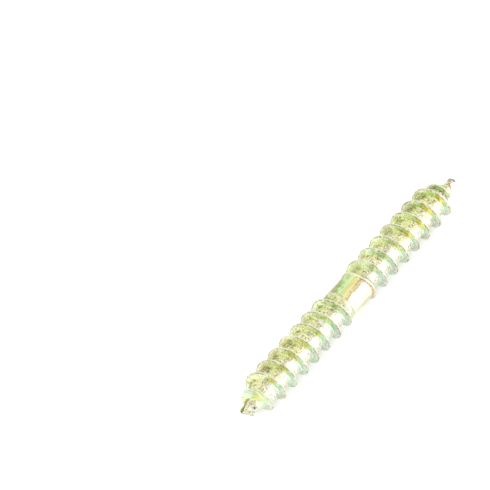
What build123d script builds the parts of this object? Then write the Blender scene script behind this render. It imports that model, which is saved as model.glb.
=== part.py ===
from build123d import *
from math import ceil, radians, tan
import os

os.makedirs("parts", exist_ok=True)

# A dowel screw: one steel rod lying along X, with a wood thread rolled on each half and a short
# plain shank between them. Both threads are right-hand. The blunt point, where the blank was
# nipped off, is at -X and the slim point at +X. Each half is built out along +X with its ridge
# starting at +Z, then turned to its clocking, and the blunt half is turned end for end.

# Whole screw
screw_length = 70.0
shank_length = 6.0
shank_rise = 0.475  # of the plain shank over the core of the thread

# Thread, the same on both halves
thread_diameter = 8.0
thread_depth = 1.2
pitch = 3.6
crest_width = 0.32
flank_angle = 21.0  # from the plane square to the axis
ridge_root_depth = 0.3  # how far the ridge reaches into the core that carries it

# Run-out of the blunt half: a band a little over the shank, then the valley sinks to the core
band_rise = 0.525  # over the core
band_length = 0.9
band_slope_length = 0.9
blunt_runout = 1.8
blunt_clocking = 179.0  # where the ridge leaves the shank, from +Y towards +Z

# Run-out of the slim half: a raised ring, then a short drop to the core
ring_rise = 0.7  # over the core
ring_chamfer = 0.12
ring_length = 0.55
ring_slope_length = 0.3
slim_runout = 1.1
slim_clocking = 125.5

# Blunt point: the crest and the core fall in two stages to a stub with a slanted, nipped end
blunt_taper_length = 5.1
blunt_waist_length = 3.4  # of the taper, down to the waist
blunt_waist_diameter = 3.9
blunt_waist_depth = 1.0  # of the thread there
blunt_stub_length = 1.7
blunt_stub_diameter = 3.2
blunt_end_diameter = 2.5
nip_slant = 19.0
nip_heading = 24.5  # of its long side, from +Y towards +Z

# Slim point: a finer pitch down to a bare nib
slim_pitch = 2.6
slim_taper_length = 3.7
slim_waist_length = 1.8
slim_waist_diameter = 3.8
slim_waist_depth = 0.7
slim_tail_diameter = 2.1
nib_length = 2.5
nib_cone_length = 0.9
nib_diameter = 1.0
nib_chamfer = 0.25

# Worked out from the sizes above
half_length = screw_length / 2
half_shank = shank_length / 2
crest_radius = thread_diameter / 2
core_radius = crest_radius - thread_depth
shank_radius = core_radius + shank_rise
band_radius = core_radius + band_rise
ring_radius = core_radius + ring_rise
blunt_waist_radius = blunt_waist_diameter / 2
slim_waist_radius = slim_waist_diameter / 2
stub_radius = blunt_stub_diameter / 2
tail_radius = slim_tail_diameter / 2
nib_radius = nib_diameter / 2
flank_lean = tan(radians(flank_angle))
band_end = half_shank + band_length
ring_start = half_shank + ring_chamfer
ring_end = ring_start + ring_length
stub_start = half_length - blunt_stub_length
blunt_taper_start = stub_start - blunt_taper_length
blunt_waist = blunt_taper_start + blunt_waist_length
nib_start = half_length - nib_length
slim_taper_start = nib_start - slim_taper_length
slim_waist = slim_taper_start + slim_waist_length


def ridge_profile(x, root, crest):
    """The ridge cut through along the axis, reaching a little into its core."""
    base = root - ridge_root_depth
    half_base = crest_width / 2 + (crest - base) * flank_lean
    with BuildSketch(Plane.XZ) as profile:
        with BuildLine():
            Polyline(
                (x - half_base, base),
                (x - crest_width / 2, crest),
                (x + crest_width / 2, crest),
                (x + half_base, base),
                close=True,
            )
        make_face()
    return profile.sketch


def ridge_stretch(start, end, lead):
    """Ridge between two stations, each its place along X and the root and crest radii there."""
    x, root, crest = start
    end_x, end_root, end_crest = end
    turn = 360 * (end_x - x) / lead
    with BuildPart() as stretch:
        with BuildLine() as path:
            Helix(lead, end_x - x, crest_radius, center=(x, 0, 0), direction=(1, 0, 0))
        first = ridge_profile(x, root, crest)
        last = ridge_profile(end_x, end_root, end_crest).rotate(Axis.X, turn)
        sweep(sections=[first, last], path=path.line, is_frenet=True, multisection=True)
    return stretch.part, turn


def stations_between(start, end, count):
    """Stations in equal steps from one station to another, both included."""
    return [
        tuple(near + (far - near) * step / count for near, far in zip(start, end))
        for step in range(count + 1)
    ]


def threaded_half(outline, stations, leads, clocking):
    """Core turned from its outline, with the ridge laid on it turn by turn."""
    with BuildPart() as half:
        with BuildSketch(Plane.XZ):
            with BuildLine():
                Polyline((outline[0][0], 0), *outline, (outline[-1][0], 0), close=True)
            make_face()
        revolve(axis=Axis.X)
        angle = 0
        for start, end, lead in zip(stations, stations[1:], leads):
            single_turns = stations_between(start, end, ceil((end[0] - start[0]) / lead))
            for turn_start, turn_end in zip(single_turns, single_turns[1:]):
                stretch, turn = ridge_stretch(turn_start, turn_end, lead)
                add(stretch.rotate(Axis.X, angle))
                angle += turn
    return half.part.rotate(Axis.X, clocking - 90)


blunt_outline = [
    (half_shank, band_radius),
    (band_end, band_radius),
    (band_end + band_slope_length, core_radius),
    (blunt_taper_start, core_radius),
    (blunt_waist, blunt_waist_radius),
    (stub_start, stub_radius),
    (half_length, blunt_end_diameter / 2),
]
blunt_stations = [
    (half_shank, core_radius, band_radius),
    (half_shank + blunt_runout, core_radius, crest_radius),
    (blunt_taper_start, core_radius, crest_radius),
    (blunt_waist, blunt_waist_radius, blunt_waist_radius + blunt_waist_depth),
    (stub_start, stub_radius, stub_radius),
]
slim_outline = [
    (half_shank, shank_radius),
    (ring_start, ring_radius),
    (ring_end, ring_radius),
    (ring_end + ring_slope_length, core_radius),
    (slim_taper_start, core_radius),
    (slim_waist, slim_waist_radius),
    (nib_start, tail_radius),
    (nib_start + nib_cone_length, nib_radius),
    (half_length - nib_chamfer, nib_radius),
    (half_length, nib_radius - nib_chamfer),
]
slim_stations = [
    (half_shank, core_radius, ring_radius),
    (half_shank + slim_runout, core_radius, crest_radius),
    (slim_taper_start, core_radius, crest_radius),
    (slim_waist, slim_waist_radius, slim_waist_radius + slim_waist_depth),
    (nib_start, tail_radius, tail_radius),
]

blunt_leads = [pitch, pitch, pitch, pitch]
slim_leads = [pitch, pitch, slim_pitch, slim_pitch]
nip_corner = Pos(X=-half_length) * Rot(X=nip_heading) * Pos(Y=blunt_end_diameter / 2)

with BuildPart() as dowel_screw:
    with BuildSketch(Plane.YZ.offset(-half_shank)):
        Circle(shank_radius)
    extrude(amount=shank_length)
    add(threaded_half(blunt_outline, blunt_stations, blunt_leads, blunt_clocking).rotate(Axis.Z, 180))
    add(threaded_half(slim_outline, slim_stations, slim_leads, slim_clocking))
    split(bisect_by=Plane(nip_corner * Rot(Z=nip_slant) * Rot(Y=90)), keep=Keep.TOP)

dowel_screw.part.label = "dowel_screw"
export_step(dowel_screw.part, "parts/dowel_screw.step")
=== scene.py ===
from functools import partial
from math import cos, pi, radians, sin, tan

import bpy
from bpy.props import FloatProperty, FloatVectorProperty, IntProperty, PointerProperty
from mathutils import Matrix, Vector


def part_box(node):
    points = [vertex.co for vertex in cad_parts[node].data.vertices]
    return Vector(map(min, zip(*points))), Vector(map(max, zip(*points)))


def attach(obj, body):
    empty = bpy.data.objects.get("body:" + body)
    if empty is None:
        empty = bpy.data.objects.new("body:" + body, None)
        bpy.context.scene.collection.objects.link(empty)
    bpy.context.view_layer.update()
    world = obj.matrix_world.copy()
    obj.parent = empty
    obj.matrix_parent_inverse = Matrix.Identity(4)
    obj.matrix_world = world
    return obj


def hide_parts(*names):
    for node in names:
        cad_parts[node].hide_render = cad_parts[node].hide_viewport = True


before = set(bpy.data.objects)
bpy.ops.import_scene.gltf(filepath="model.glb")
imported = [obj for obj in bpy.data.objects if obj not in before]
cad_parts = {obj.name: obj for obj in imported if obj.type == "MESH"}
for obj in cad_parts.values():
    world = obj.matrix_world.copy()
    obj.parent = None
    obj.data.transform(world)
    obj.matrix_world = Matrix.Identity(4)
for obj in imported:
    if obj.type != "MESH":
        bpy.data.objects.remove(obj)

bl_info = {
    "name": "Dowel screw",
    "version": (1, 0, 0),
    "blender": (4, 5, 0),
    "location": "3D View > Sidebar > Dowel screw",
    "description": "A yellow-passivated dowel screw and the white table that it is shown on",
    "category": "Add Mesh",
}

MM = 0.001
CAD_LOW, CAD_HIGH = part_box("dowel_screw")
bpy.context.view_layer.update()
SCREW_LENGTH = CAD_HIGH[0] - CAD_LOW[0]
CREST_RADIUS = CAD_HIGH[2]

# Headings round the rod, in degrees from +Y towards +Z
SHANK_CLOCKING = 1.0  # where the crest leaves the blunt side of the shank
LONG_SIDE = 24.5  # of the longer side of the nipped blunt end
SHANK_LEAD = 4.46 * MM  # of the mesh's spiral over the shank, from one thread to the other

# Marks in the mesh for the film: height on the ridge, row, the fold and the slide of the ring
MARKS = ("lift", "reach", "fold", "slid")
# Where the grid's rows lie from the middle of the crest: the edge of its land, the foot of the
# flank and the middle of the valley
LAND_ROW, FLANK_ROW, VALLEY_ROW = 0.07, 0.29, 0.5
EDGE_LINE_ROW = 0.085  # of the brown line, just outside the land

# The nipped edge of the blunt end runs back from its corner to both sides. The half thickness of
# the wedge behind it grows with the way back from the end and falls towards the short side.
EDGE_CORNER = 0.28 * MM  # off the axis, on the long side
EDGE_BACK_TO_SHORT_SIDE = 0.626
EDGE_BACK_TO_LONG_SIDE = -1.25
WEDGE_GROWTH = 0.4546
WEDGE_FALL = -0.2847

# Colours from the long side of the rod round to its short side: on the flanks of most turns, on
# those beside the shank, on those near the slim point, in the valleys and on the shank. Their hues
# are the film's. Their darker start on the long side is painted shade, and the near-white stretch
# of the valley and shank ramps on the short side is a painted highlight.
FLANK_FILM_AND_SHADE = (
    (0.00, "C4BC70"),
    (0.06, "E0E89A"),
    (0.13, "F8FEBC"),
    (0.20, "FAF8B0"),
    (0.27, "F6FEC4"),
    (0.34, "EAF4A4"),
    (0.40, "C0D470"),
    (0.45, "ACC858"),
    (0.50, "DCD452"),
    (0.54, "E8C85A"),
    (0.58, "E0E478"),
    (0.64, "E4F0A4"),
    (0.72, "D2EDB0"),
    (0.80, "B4E4C0"),
    (0.88, "C0E6C0"),
    (0.94, "C4DCC8"),
    (1.00, "CCD0C4"),
)
MINT_FILM_AND_SHADE = (
    (0.00, "B8BC74"),
    (0.08, "E0ECA8"),
    (0.16, "F4FCC8"),
    (0.24, "E0F8C8"),
    (0.32, "CCEEB8"),
    (0.39, "A4D890"),
    (0.44, "B0D474"),
    (0.50, "D0DC84"),
    (0.56, "E4EEB0"),
    (0.64, "D4EEC0"),
    (0.72, "B8E6C0"),
    (0.80, "ACE2C8"),
    (0.90, "BCE2CC"),
    (1.00, "C8D4C8"),
)
GILT_FILM_AND_SHADE = (
    (0.00, "B4B060"),
    (0.07, "B8CC60"),
    (0.15, "E4F894"),
    (0.22, "E4F8A0"),
    (0.30, "CCEC7C"),
    (0.38, "A4CC50"),
    (0.43, "C8BC44"),
    (0.47, "DCA838"),
    (0.52, "F0D44C"),
    (0.58, "F8F068"),
    (0.66, "EEF488"),
    (0.74, "E4D890"),
    (0.80, "D0E8B0"),
    (0.88, "BCE4C0"),
    (1.00, "C4CCBC"),
)
VALLEY_FILM_AND_LIGHT = (
    (0.00, "A49E5C"),
    (0.06, "BEBA6C"),
    (0.12, "D6EA9C"),
    (0.18, "E4E09C"),
    (0.23, "F8F69C"),
    (0.28, "F4D8AC"),
    (0.33, "EAF6BC"),
    (0.38, "F0E8A4"),
    (0.43, "DCCCA8"),
    (0.48, "C6CC98"),
    (0.53, "D8C4A4"),
    (0.58, "E8E4CC"),
    (0.64, "EEEAD4"),
    (0.72, "F4F6E4"),
    (0.80, "E6E4CE"),
    (0.90, "EEF2DC"),
    (1.00, "DCDCBC"),
)
SHANK_FILM_AND_LIGHT = (
    (0.00, "8E8E50"),
    (0.04, "9AA25C"),
    (0.10, "B2C680"),
    (0.15, "B8DCA0"),
    (0.18, "CCEAB0"),
    (0.26, "D8DE98"),
    (0.34, "E6E094"),
    (0.40, "ECDCA0"),
    (0.44, "E2D498"),
    (0.48, "CEBA84"),
    (0.52, "D0AC8C"),
    (0.56, "F0E8D0"),
    (0.66, "F6F6EC"),
    (0.86, "F2F6E0"),
    (0.92, "E6F2CC"),
    (0.96, "E6F0C4"),
    (1.00, "DCD0B0"),
)

# Stretches of the rod with a colour of their own: middle and half length in mm, colour, where round
# the rod it starts and is full, and its strength
LOCAL_FILM = (
    (3.4, 0.4, "EEE6C0", 0.0, 0.1, 1.2),  # cream ring
    (-3.5, 0.6, "E2DEAE", 0.0, 0.1, 0.9),  # cream band on the other side of the shank
    (3.12, 0.3, "B5804F", 1.02, 1.1, 0.75),  # brown line on the ring's shoulder
    (34.9, 1.1, "A6A29A", 3.0, 2.0, 1.6),  # grey nib
    (33.5, 0.9, "CA9C50", 1.05, 1.15, 2.6),  # tan stripe on the nib's root
    (31.1, 1.0, "D6E8B2", 0.45, 0.7, 0.75),  # pale last ridge of the slim end
    # The next entry is painted light, lifting the shade in the first valley behind the ring
    (5.0, 1.3, "DCE2A4", 1.1, 0.8, 0.65),  # pale first valley behind the ring
    (-31.4, 1.4, "D8DCA0", 3.0, 2.0, 0.5),  # pale last turn of the blunt end
    (-31.4, 1.4, "DCECD4", 1.0, 0.7, 0.8),  # which is paler still on its long side
)
# Single marks on the pinched face of the blunt end: middle and radius in mm, and colour
FACE_MARKS = (
    ((-32.81, -1.25, 0.53), 0.42, "4A4A36"),  # pit
    ((-32.7, -0.4, 1.1), 0.5, "B88470"),  # reddish stain
)

# The photo's frame, in its own pixels
FRAME_WIDTH = 490
FOCAL_LENGTH = 6767.0


def linear(hex_colour):
    """An sRGB hex colour as the linear values that Blender works in."""
    shares = [int(hex_colour[i:i + 2], 16) / 255 for i in (0, 2, 4)]
    return [c / 12.92 if c <= 0.04045 else ((c + 0.055) / 1.055) ** 2.4 for c in shares]


def set_ramp(node, stops):
    """The stops of a colour ramp, each its place and its sRGB hex colour."""
    stop_list = node.color_ramp.elements
    while len(stop_list) > 1:
        stop_list.remove(stop_list[-1])
    for i, (place, hex_colour) in enumerate(stops):
        stop = stop_list[0] if i == 0 else stop_list.new(place)
        stop.position = place
        stop.color = (*linear(hex_colour), 1.0)


def add_node(tree, kind, inputs=(), **settings):
    """A node with its settings, and its inputs set to values or linked from sockets."""
    node = tree.nodes.new(kind)
    for name, value in settings.items():
        setattr(node, name, value)
    for key, value in dict(inputs).items():
        if isinstance(value, bpy.types.NodeSocket):
            tree.links.new(value, node.inputs[key])
        else:
            node.inputs[key].default_value = value
    return node


def length(name, text, mm):
    return FloatProperty(name=name, description=text, default=mm * MM, unit="LENGTH", precision=5)


def colour(name, text, hex_colour):
    return FloatVectorProperty(
        name=name, description=text, default=linear(hex_colour), subtype="COLOR", min=0.0, max=1.0
    )


class ScrewSizes(bpy.types.PropertyGroup):
    """Sizes of the rolled rod, close to the CAD solid's, and of what the rolling left on it."""

    shank_length: length("Shank length", "Plain stretch between the threads", 6.0)
    shank_radius: length("Shank radius", "Radius of the plain stretch", 3.275)
    band_radius: length("Band radius", "Radius of the band on its blunt side", 3.325)
    ring_radius: length("Ring radius", "Radius of the ring on its slim side", 3.5)
    core_radius: length("Core radius", "Radius at the bottom of the thread", 2.8)
    pitch: length("Pitch", "Distance between two crests", 3.6)
    point_pitch: length("Point pitch", "Distance between two crests at the slim point", 2.6)
    crest_width: length("Crest width", "Width of the land on the crest", 0.3)
    flank_angle: FloatProperty(
        name="Flank angle",
        description="Lean of the flanks from square",
        default=radians(21),
        subtype="ANGLE",
    )
    root_fillet: length("Root fillet", "Rounding where a flank meets the core", 0.22)
    wobble: length("Wobble", "How far the rolled ridge wanders along the axis", 0.16)
    nick_depth: length("Nick depth", "Depth of the dents along the crest", 0.16)
    segments: IntProperty(name="Segments", description="Faces round the rod", default=112, min=24)
    samples: IntProperty(name="Samples", description="Faces across one pitch", default=32, min=12)
    seed: IntProperty(name="Seed", description="Picks the pattern of lumps", default=7)


class FilmColours(bpy.types.PropertyGroup):
    """Colours of the marks on the rod, some real and some painted light and shade; the film's own
    colours run round the rod.
    """

    spared: colour("Spared spots", "Spots on the flanks where the film is thinnest", "D6F0D4")
    # Bright specks, partly bare zinc and partly painted glints
    glints_and_bare_spots: colour("Glints and bare spots", "Bare zinc in the valleys, and painted glints", "F8F6EC")
    pits: colour("Pits", "Where the bath left the steel dark", "6B6444")
    scale: colour("Scale", "In the last valley before the slim point", "5C6068")
    # Pale upper ridge, partly wear and partly a painted sheen
    crest_wear_and_sheen: colour("Crest wear and sheen", "Where the crest is worn and takes a painted sheen", "EAE2CC")
    edges: colour("Edge lines", "Along both edges of the crest's land", "8E7E50")
    # Painted shade in the last valley before the slim point
    scores: colour("Scores", "Scores of the rolling, on the long side", "77714C")
    # Scores on the short side, painted paler where the highlight falls
    highlit_scores: colour("Scores in the highlight", "Scores of the rolling, on the short side", "A48C80")
    drawing_lines: colour("Drawing lines", "Darker lines along the plain shank", "E0BC6C")
    # Painted shade darkening the fold's crease
    fold: colour("Fold", "In the fold of the pinched face", "8C8650")


def outline_stations(sizes):
    """Stations from the blunt end on: place, core, crest and turns of thread to the next."""
    half = SCREW_LENGTH / 2
    shank = sizes.shank_length / 2
    core = sizes.core_radius
    pitch = sizes.pitch
    crest = CREST_RADIUS
    end_turn = 1.0  # of the mesh's spiral over the flat of an end
    places = [
        # place, core, crest and lead of the thread from there on. The blunt end and its taper:
        (-half, 0.0, 0.0, None),
        (-half, 1.6 * MM, 0.6 * MM, pitch),
        (-half + 1.7 * MM, 1.65 * MM, 1.5 * MM, pitch),
        (-half + 3.4 * MM, 1.95 * MM, 2.6 * MM, pitch),
        (-half + 5.0 * MM, 2.35 * MM, 3.6 * MM, pitch),
        (-half + 6.8 * MM, core, crest, pitch),
        # the run-out and the band,
        (-shank - 1.8 * MM, core, crest, pitch),
        (-shank - 0.9 * MM, sizes.band_radius, 3.68 * MM, pitch),
        (-shank - 0.05 * MM, sizes.band_radius, 3.4 * MM, pitch),
        # the shank, whose crest lies under its skin,
        (-shank + 0.05 * MM, sizes.shank_radius, 2.9 * MM, SHANK_LEAD),
        (shank, sizes.shank_radius, 2.9 * MM, pitch),
        # the ring and the other run-out,
        (shank + 0.14 * MM, sizes.ring_radius, 3.4 * MM, pitch),
        (shank + 0.64 * MM, sizes.ring_radius, 3.75 * MM, pitch),
        (shank + 0.97 * MM, 3.1 * MM, 3.92 * MM, pitch),
        (shank + 1.4 * MM, 2.95 * MM, crest, pitch),
        (shank + 2.4 * MM, core, crest, pitch),
        # the slim taper
        (half - 6.2 * MM, core, crest, sizes.point_pitch),
        (half - 4.4 * MM, 1.95 * MM, 2.65 * MM, sizes.point_pitch),
        (half - 2.5 * MM, 1.2 * MM, 0.9 * MM, 1.6 * MM),
        # and the nib
        (half - 1.6 * MM, 0.8 * MM, 0.2 * MM, 1.2 * MM),
        (half - 1.0 * MM, 0.45 * MM, 0.2 * MM, 1.2 * MM),
        (half - 0.5 * MM, 0.52 * MM, 0.2 * MM, 0.6 * MM),
        (half - 0.12 * MM, 0.48 * MM, 0.1 * MM, 0.6 * MM),
        (half - 0.03 * MM, 0.3 * MM, 0.05 * MM, None),
        (half, 0.0, 0.0, None),
    ]
    stations = []
    for here, after in zip(places, places[1:] + places[-1:]):
        turns = end_turn if here[3] is None else (after[0] - here[0]) / here[3]
        stations.append((*here[:3], turns))
    return stations


def rod_tree(sizes):
    """Geometry Nodes tree of the rod: a grid wound round the axis, its lines along the crests."""
    tree = bpy.data.node_groups.new("rolled_rod", "GeometryNodeTree")
    add = partial(add_node, tree)
    tree.interface.new_socket("Geometry", in_out="OUTPUT", socket_type="NodeSocketGeometry")
    for name, kind in (
        ("Segments", "NodeSocketInt"),
        ("Samples", "NodeSocketInt"),
        ("Crest Width", "NodeSocketFloat"),
        ("Flank Lean", "NodeSocketFloat"),
        ("Root Fillet", "NodeSocketFloat"),
        ("Wobble", "NodeSocketFloat"),
        ("Nick Depth", "NodeSocketFloat"),
        ("Seed", "NodeSocketInt"),
        ("Material", "NodeSocketMaterial"),
    ):
        tree.interface.new_socket(name, in_out="INPUT", socket_type=kind)
    inputs = add("NodeGroupInput").outputs
    stations = outline_stations(sizes)
    half = SCREW_LENGTH / 2
    half_shank = sizes.shank_length / 2
    turns_before_shank = sum(
        turns for place, _, _, turns in stations if place < -half_shank - 0.04 * MM
    )
    first_turn = SHANK_CLOCKING / 360 - turns_before_shank
    # The grid starts half a turn before the first station and ends after the last
    turns = round(sum(turns for _, _, _, turns in stations[:-1]) + 1.5)

    def place_on_outline(turn):
        """Place, core and crest radius at a turn, by straight runs between the stations."""
        total = stations[0][:3]
        here = first_turn
        for start, end in zip(stations, stations[1:]):
            run = add(
                "ShaderNodeMapRange",
                {
                    6: turn,
                    7: [here] * 3,
                    8: [here + start[3]] * 3,
                    10: Vector(end[:3]) - Vector(start[:3]),
                },
                data_type="FLOAT_VECTOR",
            )
            total = add("ShaderNodeVectorMath", {0: total, 1: run.outputs["Vector"]}).outputs[0]
            here += start[3]
        return add("ShaderNodeSeparateXYZ", {0: total}).outputs

    columns = add(
        "ShaderNodeMath", {0: inputs["Segments"], 1: turns, 2: 1.0}, operation="MULTIPLY_ADD"
    )
    rows = add("ShaderNodeMath", {0: inputs["Samples"], 1: 1.0})
    grid = add(
        "GeometryNodeMeshGrid",
        {
            "Size X": 1.0,
            "Size Y": 1.0,
            "Vertices X": columns.outputs[0],
            "Vertices Y": rows.outputs[0],
        },
    )
    grid_spot = add("GeometryNodeInputPosition").outputs[0]
    grid_x, grid_y, _ = add("ShaderNodeSeparateXYZ", {0: grid_spot}).outputs

    # Turn of each column, and how far across the pitch each row lies from the crest
    turn = add(
        "ShaderNodeMapRange",
        {
            "Value": grid_x,
            "From Min": -0.5,
            "From Max": 0.5,
            "To Min": first_turn - 0.5,
            "To Max": first_turn - 0.5 + turns,
        },
    ).outputs[0]
    side = add("ShaderNodeMath", {0: grid_y}, operation="SIGN").outputs[0]
    row = add("ShaderNodeMath", {0: grid_y}, operation="ABSOLUTE").outputs[0]
    land = 0.5 * sizes.crest_width / sizes.pitch
    foot = land + (CREST_RADIUS - sizes.core_radius) * tan(sizes.flank_angle) / sizes.pitch
    # Rows crowd on the land and the flanks, where the shape turns most
    share = 0.0
    for low, high, step in (
        (0.0, LAND_ROW, land),
        (LAND_ROW, FLANK_ROW, foot - land),
        (FLANK_ROW, VALLEY_ROW, 0.5 - foot),
    ):
        run = add(
            "ShaderNodeMapRange",
            {"Value": row, "From Min": low, "From Max": high, "To Max": step},
        ).outputs[0]
        share = add("ShaderNodeMath", {0: share, 1: run}).outputs[0]
    offset = add("ShaderNodeMath", {0: share, 1: side}, operation="MULTIPLY").outputs[0]
    own_turn = add("ShaderNodeMath", {0: turn, 1: offset}).outputs[0]

    crest_place, _, crest_radius = place_on_outline(turn)
    place, core, _ = place_on_outline(own_turn)

    # Ridge: the crest's radius less the fall of the flank, laid over the core with a fillet
    away = add("ShaderNodeMath", {0: place, 1: crest_place}, operation="SUBTRACT").outputs[0]
    away = add("ShaderNodeMath", {0: away}, operation="ABSOLUTE").outputs[0]
    half_land = add(
        "ShaderNodeMath", {0: inputs["Crest Width"], 1: 0.5}, operation="MULTIPLY"
    ).outputs[0]
    away = add("ShaderNodeMath", {0: away, 1: half_land}, operation="SUBTRACT").outputs[0]
    away = add("ShaderNodeMath", {0: away, 1: 0.0, 2: 0.06 * MM}, operation="SMOOTH_MAX").outputs[0]
    # The last half turn before the blunt end was rolled with a much slacker near flank
    slack = add(
        "ShaderNodeMapRange",
        {
            "Value": crest_place,
            "From Min": -half + 4.1 * MM,
            "From Max": -half + 5.9 * MM,
            "To Min": 0.32,
            "To Max": 1.0,
        },
    ).outputs[0]
    near_side = add("ShaderNodeMath", {0: grid_y, 1: 0.0}, operation="LESS_THAN").outputs[0]
    slack = add("ShaderNodeMix", {0: near_side, 2: 1.0, 3: slack}).outputs[0]
    away = add("ShaderNodeMath", {0: away, 1: slack}, operation="MULTIPLY").outputs[0]
    fall = add("ShaderNodeMath", {0: away, 1: inputs["Flank Lean"]}, operation="DIVIDE").outputs[0]

    # Dents along the crest, about nine to a turn, never outwards
    knocks = add(
        "ShaderNodeTexNoise",
        {"W": turn, "Scale": 9.0, "Detail": 3.0, "Roughness": 0.65},
        noise_dimensions="1D",
    ).outputs[0]
    dents = add(
        "ShaderNodeMapRange",
        {"Value": knocks, "From Min": 0.52, "From Max": 0.8, "To Max": inputs["Nick Depth"]},
    ).outputs[0]
    ridge = add("ShaderNodeMath", {0: crest_radius, 1: fall}, operation="SUBTRACT").outputs[0]
    dented = add("ShaderNodeMath", {0: crest_radius, 1: dents}, operation="SUBTRACT").outputs[0]
    ridge = add("ShaderNodeMath", {0: ridge, 1: dented}, operation="MINIMUM").outputs[0]
    # The two edges of the grid meet in the middle of the valley, where only the core may show
    sunk = add(
        "ShaderNodeMapRange",
        {"Value": row, "From Min": 0.42, "From Max": VALLEY_ROW, "To Max": 3.0 * MM},
    ).outputs[0]
    ridge = add("ShaderNodeMath", {0: ridge, 1: sunk}, operation="SUBTRACT").outputs[0]
    radius = add(
        "ShaderNodeMath", {0: core, 1: ridge, 2: inputs["Root Fillet"]}, operation="SMOOTH_MAX"
    ).outputs[0]
    # How far up the ridge, 0 in the valley and 1 on the crest
    lift = add(
        "ShaderNodeMapRange", {"Value": radius, "From Min": core, "From Max": crest_radius}
    ).outputs[0]

    # The rolled ridge wanders along the axis, and the middle of each valley stays put
    wander = add(
        "ShaderNodeTexNoise", {"W": turn, "Scale": 1.7, "Detail": 1.0}, noise_dimensions="1D"
    ).outputs[0]
    wander = add("ShaderNodeMath", {0: wander, 1: 0.5}, operation="SUBTRACT").outputs[0]
    wander = add(
        "ShaderNodeMath", {0: wander, 1: inputs["Wobble"]}, operation="MULTIPLY"
    ).outputs[0]
    hold = add(
        "ShaderNodeMapRange",
        {"Value": row, "From Min": FLANK_ROW, "From Max": VALLEY_ROW, "To Min": 2.0, "To Max": 0.0},
    ).outputs[0]
    threaded = add(
        "ShaderNodeMapRange", {"Value": crest_radius, "From Min": 3.6 * MM, "From Max": 3.95 * MM}
    ).outputs[0]
    hold = add("ShaderNodeMath", {0: hold, 1: threaded}, operation="MULTIPLY").outputs[0]
    shifted = add(
        "ShaderNodeMath", {0: wander, 1: hold, 2: place}, operation="MULTIPLY_ADD"
    ).outputs[0]

    # Wound round the axis
    angle = add("ShaderNodeMath", {0: turn, 1: 2 * pi}, operation="MULTIPLY").outputs[0]
    ray = add(
        "ShaderNodeCombineXYZ",
        {
            "Y": add("ShaderNodeMath", {0: angle}, operation="COSINE").outputs[0],
            "Z": add("ShaderNodeMath", {0: angle}, operation="SINE").outputs[0],
        },
    ).outputs[0]

    # Rolled and plated skin: low lumps about 1.1 mm across, rougher where the blank was nipped off
    axial = add("ShaderNodeCombineXYZ", {"X": shifted}).outputs[0]
    spread_of_skin = add("ShaderNodeCombineXYZ", {0: radius, 1: radius, 2: radius}).outputs[0]
    smooth_spot = add(
        "ShaderNodeVectorMath", {0: ray, 1: spread_of_skin, 2: axial}, operation="MULTIPLY_ADD"
    ).outputs[0]
    lumps = add(
        "ShaderNodeTexNoise",
        {
            "Vector": smooth_spot,
            "W": inputs["Seed"],
            "Scale": 900.0,
            "Detail": 3.0,
            "Roughness": 0.6,
        },
        noise_dimensions="4D",
    ).outputs[0]
    lumps = add("ShaderNodeMath", {0: lumps, 1: 0.5}, operation="SUBTRACT").outputs[0]
    # They are 0.05 mm high, ten times as high on the blunt end and a quarter on the plain shank
    height = add(
        "ShaderNodeMapRange",
        {
            "Value": place,
            "From Min": -half + 3.0 * MM,
            "From Max": -half + 0.6 * MM,
            "To Min": 0.05 * MM,
            "To Max": 0.5 * MM,
        },
    ).outputs[0]
    along = add("ShaderNodeMath", {0: place}, operation="ABSOLUTE").outputs[0]
    plain = add(
        "ShaderNodeMapRange",
        {
            "Value": along,
            "From Min": half_shank - 0.2 * MM,
            "From Max": half_shank + 0.2 * MM,
            "To Min": 0.25,
            "To Max": 1.0,
        },
    ).outputs[0]
    height = add("ShaderNodeMath", {0: height, 1: plain}, operation="MULTIPLY").outputs[0]
    radius = add(
        "ShaderNodeMath", {0: lumps, 1: height, 2: radius}, operation="MULTIPLY_ADD"
    ).outputs[0]
    radius = add("ShaderNodeMath", {0: radius, 1: CREST_RADIUS}, operation="MINIMUM").outputs[0]

    # The ends close on the axis, where the fillet and the lumps would leave a hole
    radius = add("ShaderNodeMath", {0: radius, 1: 0.02 * MM}, operation="MAXIMUM").outputs[0]
    open_end = add("ShaderNodeMath", {0: core, 1: 0.0001 * MM}, operation="GREATER_THAN").outputs[0]
    radius = add("ShaderNodeMath", {0: radius, 1: open_end}, operation="MULTIPLY").outputs[0]

    # The two axes in which the blunt end was pinched: from its long side to its short one, which
    # goes from -1 to 1, and through the jaws of the nippers
    short_side = (0.0, cos(radians(LONG_SIDE + 180)), sin(radians(LONG_SIDE + 180)))
    pinch_side = (0.0, cos(radians(LONG_SIDE + 90)), sin(radians(LONG_SIDE + 90)))
    to_short_side = add(
        "ShaderNodeVectorMath", {0: ray, 1: short_side}, operation="DOT_PRODUCT"
    ).outputs["Value"]
    pushed = add(
        "ShaderNodeMapRange",
        {
            "Value": place,
            "From Min": -half + 3.4 * MM,
            "From Max": -half + 2.0 * MM,
            "To Max": 0.25 * MM,
        },
    ).outputs[0]
    across = add(
        "ShaderNodeMath", {0: to_short_side, 1: radius, 2: pushed}, operation="MULTIPLY_ADD"
    ).outputs[0]
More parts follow.
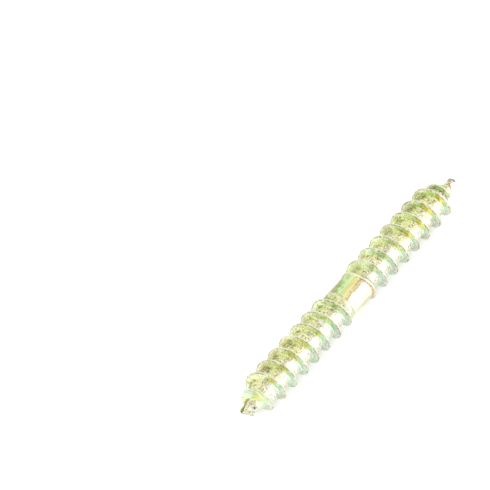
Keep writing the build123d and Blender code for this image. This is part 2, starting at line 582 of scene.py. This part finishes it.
    # The stub is drawn in behind the edge, mostly on its long side
    drawn_in = add(
        "ShaderNodeMapRange",
        {"Value": place, "From Min": -half + 3.0 * MM, "From Max": -half + 1.9 * MM},
        interpolation_type="SMOOTHSTEP",
    ).outputs[0]
    spread_again = add(
        "ShaderNodeMapRange", {"Value": place, "From Min": -half, "From Max": -half + 1.3 * MM}
    ).outputs[0]
    short_share = add(
        "ShaderNodeMath", {0: spread_again, 1: -0.14}, operation="MULTIPLY"
    ).outputs[0]
    long_half = add("ShaderNodeMath", {0: across, 1: 0.0}, operation="LESS_THAN").outputs[0]
    share_in = add("ShaderNodeMix", {0: long_half, 2: short_share, 3: -0.38}).outputs[0]
    drawn_in = add(
        "ShaderNodeMath", {0: drawn_in, 1: share_in, 2: 1.0}, operation="MULTIPLY_ADD"
    ).outputs[0]
    across = add("ShaderNodeMath", {0: across, 1: drawn_in}, operation="MULTIPLY").outputs[0]
    through = add(
        "ShaderNodeVectorMath", {0: ray, 1: pinch_side}, operation="DOT_PRODUCT"
    ).outputs["Value"]
    through = add("ShaderNodeMath", {0: through, 1: radius}, operation="MULTIPLY").outputs[0]

    # The edge runs back to both sides of its corner and is ragged
    from_corner = add("ShaderNodeMath", {0: across, 1: EDGE_CORNER}).outputs[0]
    short_run, long_run = (
        add("ShaderNodeMath", {0: from_corner, 1: slope}, operation="MULTIPLY").outputs[0]
        for slope in (EDGE_BACK_TO_SHORT_SIDE, EDGE_BACK_TO_LONG_SIDE)
    )
    set_back = add("ShaderNodeMath", {0: short_run, 1: long_run}, operation="MAXIMUM").outputs[0]
    rough_edge = add("ShaderNodeMath", {0: lumps, 1: open_end}, operation="MULTIPLY").outputs[0]
    ragged = add(
        "ShaderNodeMath", {0: rough_edge, 1: 1.2 * MM, 2: set_back}, operation="MULTIPLY_ADD"
    ).outputs[0]
    ragged = add("ShaderNodeMath", {0: ragged, 1: 0.0}, operation="MAXIMUM").outputs[0]
    nipped = add(
        "ShaderNodeMapRange", {"Value": place, "From Min": -half + 2.5 * MM, "From Max": -half}
    ).outputs[0]
    shifted = add(
        "ShaderNodeMath", {0: ragged, 1: nipped, 2: shifted}, operation="MULTIPLY_ADD"
    ).outputs[0]
    # Behind it the rod is held between the wedge's two faces, and further back it is free of them
    behind = add("ShaderNodeMath", {0: shifted, 1: half}).outputs[0]
    thick = add("ShaderNodeMath", {0: behind, 1: WEDGE_GROWTH}, operation="MULTIPLY").outputs[0]
    thick = add(
        "ShaderNodeMath", {0: from_corner, 1: WEDGE_FALL, 2: thick}, operation="MULTIPLY_ADD"
    ).outputs[0]
    thick = add("ShaderNodeMath", {0: thick, 1: 0.06 * MM}, operation="MAXIMUM").outputs[0]
    free = add(
        "ShaderNodeMapRange",
        {
            "Value": place,
            "From Min": -half + 2.0 * MM,
            "From Max": -half + 2.8 * MM,
            "To Max": 4.0 * MM,
        },
    ).outputs[0]
    bound = add("ShaderNodeMath", {0: thick, 1: free}).outputs[0]
    far_bound = add("ShaderNodeMath", {0: bound, 1: -1.0}, operation="MULTIPLY").outputs[0]
    pinched = add("ShaderNodeMath", {0: through, 1: bound}, operation="MINIMUM").outputs[0]
    pinched = add("ShaderNodeMath", {0: pinched, 1: far_bound}, operation="MAXIMUM").outputs[0]
    # A little of the roundness stays, so that no two points of the skin fall together
    pinched = add("ShaderNodeMix", {0: 0.03, 2: pinched, 3: through}).outputs[0]

    # A fold runs back from the corner over the upper pinched face
    fold_line = add(
        "ShaderNodeMath", {0: behind, 1: 0.3, 2: from_corner}, operation="MULTIPLY_ADD"
    ).outputs[0]
    fold_line = add("ShaderNodeMath", {0: fold_line}, operation="ABSOLUTE").outputs[0]
    fold = add(
        "ShaderNodeMapRange",
        {"Value": fold_line, "From Min": 0.2 * MM, "From Max": 0.04 * MM},
        interpolation_type="SMOOTHSTEP",
    ).outputs[0]
    upper = add("ShaderNodeMath", {0: through, 1: 0.0}, operation="GREATER_THAN").outputs[0]
    fold = add("ShaderNodeMath", {0: fold, 1: upper}, operation="MULTIPLY").outputs[0]
    fold_reach = add(
        "ShaderNodeMapRange", {"Value": behind, "From Min": 2.7 * MM, "From Max": 2.2 * MM}
    ).outputs[0]
    fold = add("ShaderNodeMath", {0: fold, 1: fold_reach}, operation="MULTIPLY").outputs[0]
    fold_depth = add("ShaderNodeMath", {0: thick, 1: 0.14 * MM}, operation="MINIMUM").outputs[0]
    fold_depth = add("ShaderNodeMath", {0: fold, 1: fold_depth}, operation="MULTIPLY").outputs[0]
    pinched = add("ShaderNodeMath", {0: pinched, 1: fold_depth}, operation="SUBTRACT").outputs[0]

    # The nib at the slim end leans to the long side, and its last bit hooks back
    for start, end, push in ((1.7, 0.8, -0.34), (0.5, 0.0, 0.5)):
        bend = add(
            "ShaderNodeMapRange",
            {
                "Value": place,
                "From Min": half - start * MM,
                "From Max": half - end * MM,
                "To Max": push * MM,
            },
            interpolation_type="SMOOTHSTEP",
        ).outputs[0]
        across = add("ShaderNodeMath", {0: across, 1: bend}).outputs[0]
    raised = add(
        "ShaderNodeMapRange",
        {
            "Value": place,
            "From Min": half - 0.9 * MM,
            "From Max": half - 0.1 * MM,
            "To Max": 0.5 * MM,
        },
        interpolation_type="SMOOTHSTEP",
    ).outputs[0]
    pinched = add("ShaderNodeMath", {0: pinched, 1: raised}).outputs[0]

    # The ring stands askew: its long side lies nearer the blunt end, and the shank makes room
    slid = add(
        "ShaderNodeMapRange",
        {"Value": to_short_side, "From Min": 0.7, "From Max": -0.4, "To Max": -0.75 * MM},
        interpolation_type="SMOOTHSTEP",
    ).outputs[0]
    for start, end in ((-3.0 * MM, -0.3 * MM), (3.2 * MM, 1.2 * MM)):
        beside = add(
            "ShaderNodeMapRange",
            {"Value": place, "From Min": half_shank + start, "From Max": half_shank + end},
            interpolation_type="SMOOTHSTEP",
        ).outputs[0]
        slid = add("ShaderNodeMath", {0: slid, 1: beside}, operation="MULTIPLY").outputs[0]
    shifted = add("ShaderNodeMath", {0: shifted, 1: slid}).outputs[0]

    position = add("ShaderNodeCombineXYZ", {"X": shifted}).outputs[0]
    for reach, axis in ((across, short_side), (pinched, pinch_side)):
        stretch = add("ShaderNodeCombineXYZ", {0: reach, 1: reach, 2: reach}).outputs[0]
        position = add(
            "ShaderNodeVectorMath", {0: stretch, 1: axis, 2: position}, operation="MULTIPLY_ADD"
        ).outputs[0]
    # The marks are made first, while the grid's rows still tell crest from valley
    marked = grid.outputs["Mesh"]
    for name, mark in zip(MARKS, (lift, row, fold, slid)):
        marked = add(
            "GeometryNodeStoreNamedAttribute",
            {"Geometry": marked, "Name": name, "Value": mark},
            data_type="FLOAT",
        ).outputs[0]
    wound = add("GeometryNodeSetPosition", {"Geometry": marked, "Position": position})
    welded = add(
        "GeometryNodeMergeByDistance", {"Geometry": wound.outputs[0], "Distance": 0.0004 * MM}
    )
    loose = add("GeometryNodeRealizeInstances", {"Geometry": welded.outputs[0]})
    finished = add(
        "GeometryNodeSetMaterial", {"Geometry": loose.outputs[0], "Material": inputs["Material"]}
    )
    add("NodeGroupOutput", {"Geometry": finished.outputs[0]})
    return tree


def passivated_zinc(colours):
    """Zinc with a yellow passivation, whose thin chromate film is iridescent."""
    # Barrel plating leaves a bright, slightly uneven metal. The film on it shifts from olive over
    # yellow to green and a greyish blue with its thickness, and is patchy where the steel is rough.
    # Round the rod its colours also hold painted shade on the long side and a painted highlight on
    # the short side
    material = bpy.data.materials.new("yellow_passivated_zinc")
    material.use_nodes = True
    tree = material.node_tree
    add = partial(add_node, tree)
    shader = tree.nodes["Principled BSDF"]
    spot = add("ShaderNodeTexCoord").outputs["Object"]
    lift, reach, fold, slid = (
        add("ShaderNodeAttribute", attribute_name=name).outputs["Fac"] for name in MARKS
    )

    # How far round the rod, 0 on its long side and 1 on its short side
    heading = radians(LONG_SIDE)
    flat = add(
        "ShaderNodeVectorMath", {0: spot, 1: (0.0, 1.0, 1.0)}, operation="MULTIPLY"
    ).outputs[0]
    unit = add("ShaderNodeVectorMath", {0: flat}, operation="NORMALIZE").outputs[0]
    facing = add(
        "ShaderNodeVectorMath",
        {0: unit, 1: (0.0, cos(heading), sin(heading))},
        operation="DOT_PRODUCT",
    ).outputs["Value"]
    round_rod = add(
        "ShaderNodeMath", {0: facing, 1: -0.5, 2: 0.5}, operation="MULTIPLY_ADD"
    ).outputs[0]

    # Patches of the film, 3.8 mm across, and blotches, 0.8 mm across
    patches = add(
        "ShaderNodeTexNoise", {"Vector": spot, "Scale": 260.0, "Detail": 2.0, "Roughness": 0.5}
    ).outputs[0]
    blotches = add(
        "ShaderNodeTexNoise", {"Vector": spot, "Scale": 1250.0, "Detail": 3.0, "Roughness": 0.6}
    ).outputs[0]
    # Rolling lines run round the rod. They are 0.3 mm apart and 2 mm long, coarser than real, so
    # that they show, and so are the specks for pits and bare spots, 0.4 mm across.
    drawn_out = add(
        "ShaderNodeMapping", {"Vector": spot, "Scale": (3300.0, 500.0, 500.0)}
    ).outputs[0]
    lines = add(
        "ShaderNodeTexNoise", {"Vector": drawn_out, "Scale": 1.0, "Detail": 2.0, "Roughness": 0.6}
    ).outputs[0]
    specks = add(
        "ShaderNodeTexNoise", {"Vector": spot, "Scale": 2500.0, "Detail": 2.0, "Roughness": 0.65}
    ).outputs[0]

    # Place on the colour ramps: the way round the rod, shifted by the patches and the lines. Every
    # noise is 0.5 on average, so that half of its weight comes off again.
    shift = add(
        "ShaderNodeMath", {0: patches, 1: 0.85, 2: round_rod}, operation="MULTIPLY_ADD"
    ).outputs[0]
    shift = add("ShaderNodeMath", {0: lines, 1: 0.2, 2: shift}, operation="MULTIPLY_ADD").outputs[0]
    # Along the rod the film follows the ring, which stands askew
    x = add("ShaderNodeSeparateXYZ", {0: spot}).outputs["X"]
    x = add("ShaderNodeMath", {0: x, 1: slid}, operation="SUBTRACT").outputs[0]
    along = add("ShaderNodeMath", {0: x}, operation="ABSOLUTE").outputs[0]
    on_flank = add("ShaderNodeMath", {0: shift, 1: 0.525}, operation="SUBTRACT").outputs[0]
    # The film is thicker on the last turn of the blunt end and thinner on that of the slim one,
    for start, full, most in ((-29.0, -31.0, 0.135), (29.6, 31.2, -0.16)):
        change = add(
            "ShaderNodeMapRange",
            {"Value": x, "From Min": start * MM, "From Max": full * MM, "To Max": most},
        ).outputs[0]
        on_flank = add("ShaderNodeMath", {0: on_flank, 1: change}).outputs[0]
    # and mottled where it is thin
    thin = add(
        "ShaderNodeMapRange", {"Value": round_rod, "From Min": 0.6, "From Max": 0.35, "To Max": 0.6}
    ).outputs[0]
    mottle = add("ShaderNodeMath", {0: blotches, 1: 0.5}, operation="SUBTRACT").outputs[0]
    on_flank = add(
        "ShaderNodeMath", {0: mottle, 1: thin, 2: on_flank}, operation="MULTIPLY_ADD"
    ).outputs[0]
    # The flank ramps paint shade at their long-side start, over the film's hues
    flank = add("ShaderNodeValToRGB", {"Fac": on_flank})
    set_ramp(flank, FLANK_FILM_AND_SHADE)
    # It is greener beside the shank and more golden near the slim point
    flank = flank.outputs["Color"]
    for ramp, value, start, full in ((MINT_FILM_AND_SHADE, along, 17.0, 7.0), (GILT_FILM_AND_SHADE, x, 10.0, 22.0)):
        other = add("ShaderNodeValToRGB", {"Fac": on_flank})
        set_ramp(other, ramp)
        mixed = add(
            "ShaderNodeMapRange", {"Value": value, "From Min": start * MM, "From Max": full * MM}
        ).outputs[0]
        flank = add(
            "ShaderNodeMix", {0: mixed, 6: flank, 7: other.outputs["Color"]}, data_type="RGBA"
        ).outputs[2]

    spared = add(
        "ShaderNodeMapRange", {"Value": specks, "From Min": 0.5, "From Max": 0.6}
    ).outputs[0]
    spared = add("ShaderNodeMath", {0: spared, 1: thin}, operation="MULTIPLY").outputs[0]
    flank = add(
        "ShaderNodeMix", {0: spared, 6: flank, 7: (*colours.spared, 1.0)}, data_type="RGBA"
    ).outputs[2]

    shift = add("ShaderNodeMath", {0: blotches, 1: shift}).outputs[0]
    in_valley = add("ShaderNodeMath", {0: shift, 1: 1.025}, operation="SUBTRACT").outputs[0]
    # The valley ramp paints shade at its long-side start and a highlight in its near-white stretch
    # on the short side
    valley = add("ShaderNodeValToRGB", {"Fac": in_valley})
    set_ramp(valley, VALLEY_FILM_AND_LIGHT)

    # The plain shank keeps a cleaner film
    on_thread = add(
        "ShaderNodeMapRange", {"Value": along, "From Min": 2.8 * MM, "From Max": 3.2 * MM}
    ).outputs[0]
    # Drawing lines run along it, 0.3 mm apart and 6.7 mm long, also coarser than real
    drawn = add("ShaderNodeMapping", {"Vector": spot, "Scale": (150.0, 3300.0, 3300.0)}).outputs[0]
    drawn = add(
        "ShaderNodeTexNoise", {"Vector": drawn, "Scale": 1.0, "Detail": 2.0, "Roughness": 0.6}
    ).outputs[0]
    plain_shift = add(
        "ShaderNodeMath", {0: drawn, 1: 0.3, 2: round_rod}, operation="MULTIPLY_ADD"
    ).outputs[0]
    # The colours lean along it, by 0.014 of the ramp to the millimetre
    plain_shift = add(
        "ShaderNodeMath", {0: x, 1: 14.0, 2: plain_shift}, operation="MULTIPLY_ADD"
    ).outputs[0]
    plain_shift = add(
        "ShaderNodeMath", {0: blotches, 1: 0.34, 2: plain_shift}, operation="MULTIPLY_ADD"
    ).outputs[0]
    plain_shift = add(
        "ShaderNodeMath", {0: specks, 1: 0.12, 2: plain_shift}, operation="MULTIPLY_ADD"
    ).outputs[0]
    on_shank = add("ShaderNodeMath", {0: plain_shift, 1: 0.38}, operation="SUBTRACT").outputs[0]
    # The shank ramp paints shade at its long-side start and a highlight in its near-white stretch
    # on the short side
    shank = add("ShaderNodeValToRGB", {"Fac": on_shank})
    set_ramp(shank, SHANK_FILM_AND_LIGHT)
    darker = add(
        "ShaderNodeMapRange", {"Value": drawn, "From Min": 0.52, "From Max": 0.66, "To Max": 0.45}
    ).outputs[0]
    shank = add(
        "ShaderNodeMix",
        {0: darker, 6: shank.outputs["Color"], 7: (*colours.drawing_lines, 1.0)},
        data_type="RGBA",
    ).outputs[2]

    # Pits, where the bath left the steel dark, painted fainter where the highlight falls, and
    # bright specks
    pitted = add(
        "ShaderNodeMapRange", {"Value": specks, "From Min": 0.56, "From Max": 0.65, "To Max": 0.85}
    ).outputs[0]
    # Painted highlight: the pits and scores fade on the short side, where the highlight falls
    outside_highlight = add(
        "ShaderNodeMapRange",
        {"Value": round_rod, "From Min": 0.46, "From Max": 0.58, "To Min": 1.0, "To Max": 0.45},
    ).outputs[0]
    pitted = add("ShaderNodeMath", {0: pitted, 1: outside_highlight}, operation="MULTIPLY").outputs[0]
    rolled = add(
        "ShaderNodeMix",
        {0: pitted, 6: valley.outputs["Color"], 7: (*colours.pits, 1.0)},
        data_type="RGBA",
    ).outputs[2]
    # Bright specks: in part bare zinc, in part painted glints
    glints_and_bare_spots = add(
        "ShaderNodeMapRange", {"Value": specks, "From Min": 0.44, "From Max": 0.36, "To Max": 0.9}
    ).outputs[0]
    rolled = add(
        "ShaderNodeMix", {0: glints_and_bare_spots, 6: rolled, 7: (*colours.glints_and_bare_spots, 1.0)}, data_type="RGBA"
    ).outputs[2]
    # Painted shade: the last valley before the slim point is grey, broken up by the specks
    off = add("ShaderNodeMath", {0: x, 1: 30.4 * MM}, operation="SUBTRACT").outputs[0]
    off = add("ShaderNodeMath", {0: off}, operation="ABSOLUTE").outputs[0]
    last_valley = add(
        "ShaderNodeMapRange", {"Value": off, "From Min": 1.2 * MM, "From Max": 0.7 * MM}
    ).outputs[0]
    scale = add(
        "ShaderNodeMapRange",
        {"Value": specks, "From Min": 0.46, "From Max": 0.58, "To Min": 0.2, "To Max": 0.9},
    ).outputs[0]
    scale = add("ShaderNodeMath", {0: scale, 1: last_valley}, operation="MULTIPLY").outputs[0]
    rolled = add(
        "ShaderNodeMix", {0: scale, 6: rolled, 7: (*colours.scale, 1.0)}, data_type="RGBA"
    ).outputs[2]
    # Where the ridge rises, the film of the flanks takes over
    on_ridge = add(
        "ShaderNodeMapRange", {"Value": lift, "From Min": 0.08, "From Max": 0.2}
    ).outputs[0]
    film = add("ShaderNodeMix", {0: on_ridge, 6: rolled, 7: flank}, data_type="RGBA").outputs[2]

    # The crest is paler, partly from wear and partly a painted sheen,
    crest_wear_and_sheen = add(
        "ShaderNodeMapRange", {"Value": lift, "From Min": 0.36, "From Max": 0.88, "To Max": 0.78}
    ).outputs[0]
    film = add(
        "ShaderNodeMix", {0: crest_wear_and_sheen, 6: film, 7: (*colours.crest_wear_and_sheen, 1.0)}, data_type="RGBA"
    ).outputs[2]
    # and broken brown lines run along both edges of its land
    from_edge = add("ShaderNodeMath", {0: reach, 1: EDGE_LINE_ROW}, operation="SUBTRACT").outputs[0]
    from_edge = add("ShaderNodeMath", {0: from_edge}, operation="ABSOLUTE").outputs[0]
    edge = add(
        "ShaderNodeMapRange",
        {"Value": from_edge, "From Min": 0.04, "From Max": 0.01, "To Max": 0.8},
    ).outputs[0]
    broken = add(
        "ShaderNodeMapRange", {"Value": blotches, "From Min": 0.42, "From Max": 0.56}
    ).outputs[0]
    edge = add("ShaderNodeMath", {0: edge, 1: broken}, operation="MULTIPLY").outputs[0]
    film = add(
        "ShaderNodeMix", {0: edge, 6: film, 7: (*colours.edges, 1.0)}, data_type="RGBA"
    ).outputs[2]
    # Scores that the rolling left, fewer on the ridge and painted fainter where the highlight falls
    scored = add(
        "ShaderNodeMapRange", {"Value": lines, "From Min": 0.57, "From Max": 0.68, "To Max": 0.55}
    ).outputs[0]
    fewer = add(
        "ShaderNodeMath", {0: on_ridge, 1: -0.6, 2: 1.0}, operation="MULTIPLY_ADD"
    ).outputs[0]
    scored = add("ShaderNodeMath", {0: scored, 1: fewer}, operation="MULTIPLY").outputs[0]
    in_scores = add(
        "ShaderNodeMix",
        {0: outside_highlight, 6: (*colours.highlit_scores, 1.0), 7: (*colours.scores, 1.0)},
        data_type="RGBA",
    ).outputs[2]
    film = add("ShaderNodeMix", {0: scored, 6: film, 7: in_scores}, data_type="RGBA").outputs[2]
    film = add("ShaderNodeMix", {0: on_thread, 6: shank, 7: film}, data_type="RGBA").outputs[2]
    # Stretches with a colour of their own, patchy and with a broken edge round the rod
    worn = add(
        "ShaderNodeMath", {0: blotches, 1: 1.2, 2: round_rod}, operation="MULTIPLY_ADD"
    ).outputs[0]
    patchy = add(
        "ShaderNodeMapRange", {"Value": specks, "From Min": 0.4, "From Max": 0.55, "To Min": 0.35}
    ).outputs[0]
    for middle, spread, own_colour, start, full, strength in LOCAL_FILM:
        off = add("ShaderNodeMath", {0: x, 1: middle * MM}, operation="SUBTRACT").outputs[0]
        off = add("ShaderNodeMath", {0: off}, operation="ABSOLUTE").outputs[0]
        near = add(
            "ShaderNodeMapRange",
            {
                "Value": off,
                "From Min": spread * MM,
                "From Max": 0.3 * spread * MM,
                "To Max": strength,
            },
        ).outputs[0]
        side = add(
            "ShaderNodeMapRange", {"Value": worn, "From Min": start, "From Max": full}
        ).outputs[0]
        own = add("ShaderNodeMath", {0: near, 1: side}, operation="MULTIPLY").outputs[0]
        own = add("ShaderNodeMath", {0: own, 1: patchy}, operation="MULTIPLY").outputs[0]
        film = add(
            "ShaderNodeMix", {0: own, 6: film, 7: (*linear(own_colour), 1.0)}, data_type="RGBA"
        ).outputs[2]
    # All of it is streaked a little lighter and darker by the lines
    streaks = add(
        "ShaderNodeMapRange",
        {"Value": lines, "From Min": 0.3, "From Max": 0.7, "To Min": 0.78, "To Max": 1.2},
    ).outputs[0]
    fine = add(
        "ShaderNodeMapRange",
        {"Value": drawn, "From Min": 0.35, "From Max": 0.65, "To Min": 1.1, "To Max": 0.9},
    ).outputs[0]
    streaks = add("ShaderNodeMix", {0: on_thread, 2: fine, 3: streaks}).outputs[0]
    film = add("ShaderNodeVectorMath", {0: film, "Scale": streaks}, operation="SCALE").outputs[0]
    # Single marks, whose rims the specks fray by up to 0.6 mm to both sides
    for middle, radius, own_colour in FACE_MARKS:
        away = add(
            "ShaderNodeVectorMath",
            {0: spot, 1: [part * MM for part in middle]},
            operation="DISTANCE",
        ).outputs["Value"]
        away = add(
            "ShaderNodeMath", {0: specks, 1: 1.2 * MM, 2: away}, operation="MULTIPLY_ADD"
        ).outputs[0]
        rim, full = (radius + 0.6) * MM, (0.4 * radius + 0.6) * MM
        marked = add(
            "ShaderNodeMapRange", {"Value": away, "From Min": rim, "From Max": full, "To Max": 0.85}
        ).outputs[0]
        film = add(
            "ShaderNodeMix", {0: marked, 6: film, 7: (*linear(own_colour), 1.0)}, data_type="RGBA"
        ).outputs[2]
    # Painted shade darkens the fold of the pinched face
    film = add(
        "ShaderNodeMix", {0: fold, 6: film, 7: (*colours.fold, 1.0)}, data_type="RGBA"
    ).outputs[2]
    tree.links.new(film, shader.inputs["Base Color"])
    shader.inputs["Metallic"].default_value = 1.0

    # Rougher on the threads than on the plain shank
    rough = add(
        "ShaderNodeMapRange",
        {"Value": blotches, "From Min": 0.3, "From Max": 0.7, "To Min": 0.18, "To Max": 0.34},
    ).outputs[0]
    rough = add("ShaderNodeMix", {0: on_thread, 2: 0.14, 3: rough}).outputs[0]
    tree.links.new(rough, shader.inputs["Roughness"])
    grain = add("ShaderNodeMath", {0: lines, 1: blotches}).outputs[0]
    grain = add("ShaderNodeMath", {0: specks, 1: grain}).outputs[0]
    grain = add("ShaderNodeMath", {0: grain, 1: on_thread}, operation="MULTIPLY").outputs[0]
    bump = add(
        "ShaderNodeBump", {"Strength": 1.0, "Distance": 0.09 * MM, "Height": grain}
    ).outputs[0]
    tree.links.new(bump, shader.inputs["Normal"])
    return material


class OBJECT_OT_rolled_rod(bpy.types.Operator):
    """Make the rolled and plated rod with its two threads"""

    bl_idname = "dowel_screw.rolled_rod"
    bl_label = "Rolled rod"
    bl_options = {"REGISTER", "UNDO"}

    def execute(self, context):
        scene = context.scene
        sizes = scene.dowel_screw_sizes
        tree = rod_tree(sizes)
        mesh = bpy.data.meshes.new("rolled_rod_base")
        rod = bpy.data.objects.new("rolled_rod", mesh)
        scene.collection.objects.link(rod)
        modifier = rod.modifiers.new("Rolled rod", "NODES")
        modifier.node_group = tree
        wanted = {
            "Segments": sizes.segments,
            "Samples": sizes.samples,
            "Crest Width": sizes.crest_width,
            "Flank Lean": tan(sizes.flank_angle),
            "Root Fillet": sizes.root_fillet,
            "Wobble": sizes.wobble,
            "Nick Depth": sizes.nick_depth,
            "Seed": sizes.seed,
            "Material": passivated_zinc(scene.dowel_screw_colours),
        }
        for socket in tree.interface.items_tree:
            if socket.in_out == "INPUT":
                modifier[socket.identifier] = wanted[socket.name]
        context.view_layer.update()
        graph = context.evaluated_depsgraph_get()
        finished = bpy.data.meshes.new_from_object(rod.evaluated_get(graph), depsgraph=graph)
        rod.modifiers.remove(modifier)
        rod.data = finished
        bpy.data.meshes.remove(mesh)
        if not finished.polygons:
            raise RuntimeError("the rod's tree made no faces")
        finished.polygons.foreach_set("use_smooth", [True] * len(finished.polygons))
        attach(rod, "root")
        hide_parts("dowel_screw")
        return {"FINISHED"}


class OBJECT_OT_studio(bpy.types.Operator):
    """Set up the white table, the soft light and the camera"""

    bl_idname = "dowel_screw.studio"
    bl_label = "Studio"
    bl_options = {"REGISTER", "UNDO"}

    def execute(self, context):
        scene = context.scene
        table_mesh = bpy.data.meshes.new("table")
        reach = 3.0
        level = CAD_LOW[2] - 0.002 * MM  # a hair under the crests, so that the two don't fight
        square = ((-reach, -reach), (reach, -reach), (reach, reach), (-reach, reach))
        corners = [(*corner, level) for corner in square]
        table_mesh.from_pydata(corners, [], [(0, 1, 2, 3)])
        table = bpy.data.objects.new("table", table_mesh)
        scene.collection.objects.link(table)
        # Matt pressed laminate, a little lit from within so that it shows as plain white
        laminate = bpy.data.materials.new("white_laminate")
        laminate.use_nodes = True
        look = laminate.node_tree.nodes["Principled BSDF"].inputs
        look["Base Color"].default_value = (0.97, 0.97, 0.97, 1.0)
        look["Roughness"].default_value = 0.9
        look["Emission Color"].default_value = (1.0, 1.0, 1.0, 1.0)
        look["Emission Strength"].default_value = 0.2
        table_mesh.materials.append(laminate)

        world = bpy.data.worlds.new("soft_room")
        world.use_nodes = True
        sky = world.node_tree.nodes["Background"].inputs
        sky["Color"].default_value = (*linear("E8ECF0"), 1.0)
        sky["Strength"].default_value = 1.32
        scene.world = world

        softbox = bpy.data.lights.new("softbox", "AREA")
        softbox.shape = "RECTANGLE"
        softbox.size = 0.36
        softbox.size_y = 0.6
        # In watts, as bright at any size
        softbox.energy = 1.6 * pi * softbox.size * softbox.size_y
        lamp = bpy.data.objects.new("softbox", softbox)
        scene.collection.objects.link(lamp)
        # It leans so that its reflection lies as one white band along the whole rod
        outward = Vector((0.53, -0.762, 0.372)).normalized()
        lengthwise = Vector((0.0, -0.438, -0.899))
        breadth = lengthwise.cross(outward).normalized()
        lengthwise = outward.cross(breadth)
        turned = Matrix((breadth, lengthwise, outward)).transposed().to_4x4()
        stand = outward * 0.62 + lengthwise * 0.05
        lamp.matrix_world = Matrix.Translation(stand) @ turned
        lamp.visible_camera = False

        lens = bpy.data.cameras.new("camera")
        lens.sensor_width = 36.0
        lens.lens = FOCAL_LENGTH / FRAME_WIDTH * lens.sensor_width
        lens.clip_start = 0.05
        lens.clip_end = 20.0
        camera = bpy.data.objects.new("camera", lens)
        scene.collection.objects.link(camera)
        # It doesn't aim at the screw's middle, because the screw lies off the middle of the frame
        towards = self.facing(56.21, 50.342)
        aim = self.facing(54.831, 49.921)
        right = Vector((0.0, 0.0, 1.0)).cross(aim).normalized()
        up = aim.cross(right)
        turned = Matrix((right, up, aim)).transposed().to_4x4()
        camera.matrix_world = Matrix.Translation(towards * 1280.29 * MM) @ turned
        scene.camera = camera
        scene.view_settings.view_transform = "Standard"
        return {"FINISHED"}

    @staticmethod
    def facing(heading, height):
        """Direction from the screw to a camera that looks along a heading from +Y towards +X."""
        a, e = radians(heading), radians(height)
        return Vector((-sin(a) * cos(e), -cos(a) * cos(e), sin(e)))


class VIEW3D_PT_dowel_screw(bpy.types.Panel):
    """Lists the pieces, their sizes and their colours"""

    bl_label = "Dowel screw"
    bl_space_type = "VIEW_3D"
    bl_region_type = "UI"
    bl_category = "Dowel screw"

    def draw(self, context):
        scene = context.scene
        for group in (scene.dowel_screw_sizes, scene.dowel_screw_colours):
            for name in group.bl_rna.properties.keys():
                if name not in {"rna_type", "name"}:
                    self.layout.prop(group, name)
        self.layout.operator(OBJECT_OT_rolled_rod.bl_idname)
        self.layout.operator(OBJECT_OT_studio.bl_idname)


CLASSES = (ScrewSizes, FilmColours, OBJECT_OT_rolled_rod, OBJECT_OT_studio, VIEW3D_PT_dowel_screw)


def register():
    for cls in CLASSES:
        bpy.utils.register_class(cls)
    bpy.types.Scene.dowel_screw_sizes = PointerProperty(type=ScrewSizes)
    bpy.types.Scene.dowel_screw_colours = PointerProperty(type=FilmColours)


def unregister():
    del bpy.types.Scene.dowel_screw_sizes, bpy.types.Scene.dowel_screw_colours
    for cls in reversed(CLASSES):
        bpy.utils.unregister_class(cls)


def main():
    register()
    bpy.ops.dowel_screw.rolled_rod()
    bpy.ops.dowel_screw.studio()


if __name__ == "__main__":
    main()
